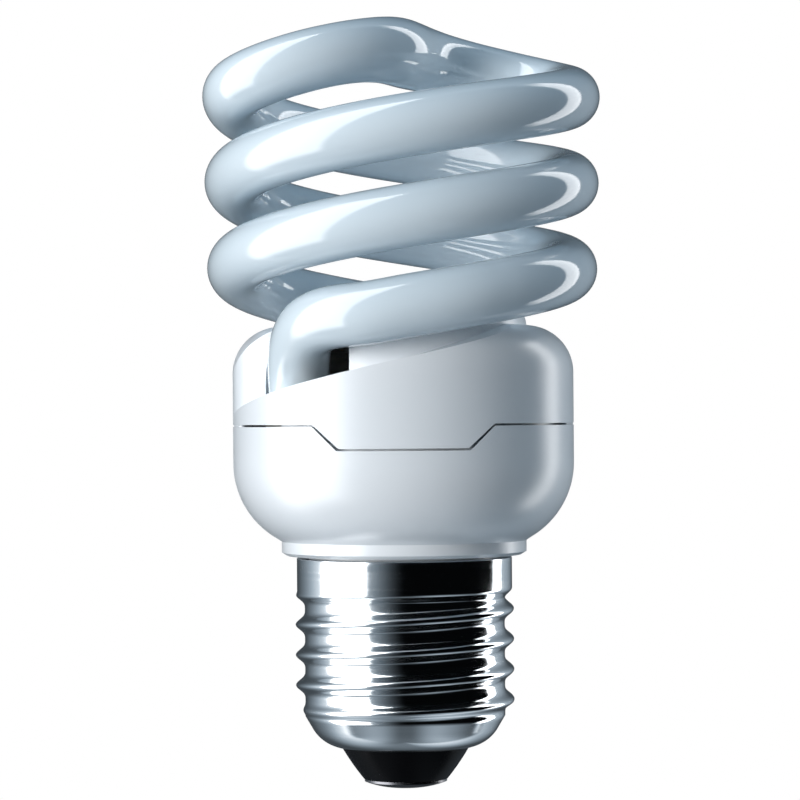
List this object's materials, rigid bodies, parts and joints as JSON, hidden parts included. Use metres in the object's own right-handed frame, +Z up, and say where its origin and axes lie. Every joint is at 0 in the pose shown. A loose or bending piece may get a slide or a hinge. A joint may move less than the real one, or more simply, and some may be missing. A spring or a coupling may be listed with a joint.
{
  "type": "spiral energy saving bulb",
  "caption": "Compact fluorescent lamp: a white double spiral glass tube on a white ballast housing with an E27 screw cap.",
  "frame": {"origin": "lowest point of the centre contact, on the axis of the screw cap", "axes": "+Z up along the axis from the cap to the glass, -Y towards the picture's viewer, +X to the viewer's right"},
  "size_m": [0.0478, 0.0476, 0.0928],
  "materials": {
    "coated_glass": "glossy clear glass over an opaque white phosphor coat",
    "white_plastic": "glossy moulded white",
    "nickel_shell": "bright nickel plate on rolled brass sheet",
    "black_glass": "glossy black pressed glass",
    "solder_metal": "solder over a stamped eyelet",
    "board_laminate": "paper laminate",
    "tinned_wire": "tinned wire",
    "cement": "dry white cement",
    "capacitor_sleeve": "shrunk sleeve over an aluminium can",
    "ferrite": "sintered, dark grey",
    "bobbin_plastic": "moulded",
    "copper_winding": "enamelled copper wire",
    "component_body": "dipped coat",
    "black_resin": "moulded resin",
    "film_body": "dipped coat"
  },
  "bodies": {
    "root": {"spiral_tube": "coated_glass", "cover": "white_plastic", "base_housing": "white_plastic", "screw_shell": "nickel_shell", "insulator": "black_glass", "contact": "solder_metal", "circuit_board": "board_laminate", "wrap_pins": "tinned_wire", "tube_leads": "tinned_wire", "tube_cement": "cement", "storage_capacitor": "capacitor_sleeve", "choke_core": "ferrite", "choke_bobbin": "bobbin_plastic", "choke_winding": "copper_winding", "input_choke": "ferrite", "fuse_resistor": "component_body", "centre_lead": "tinned_wire", "side_lead": "tinned_wire", "drive_ring": "ferrite", "transistors": "black_resin", "film_capacitors": "film_body", "ceramic_capacitor": "component_body", "rectifier_diodes": "black_resin", "resistors": "component_body"}
  },
  "joints": []
}
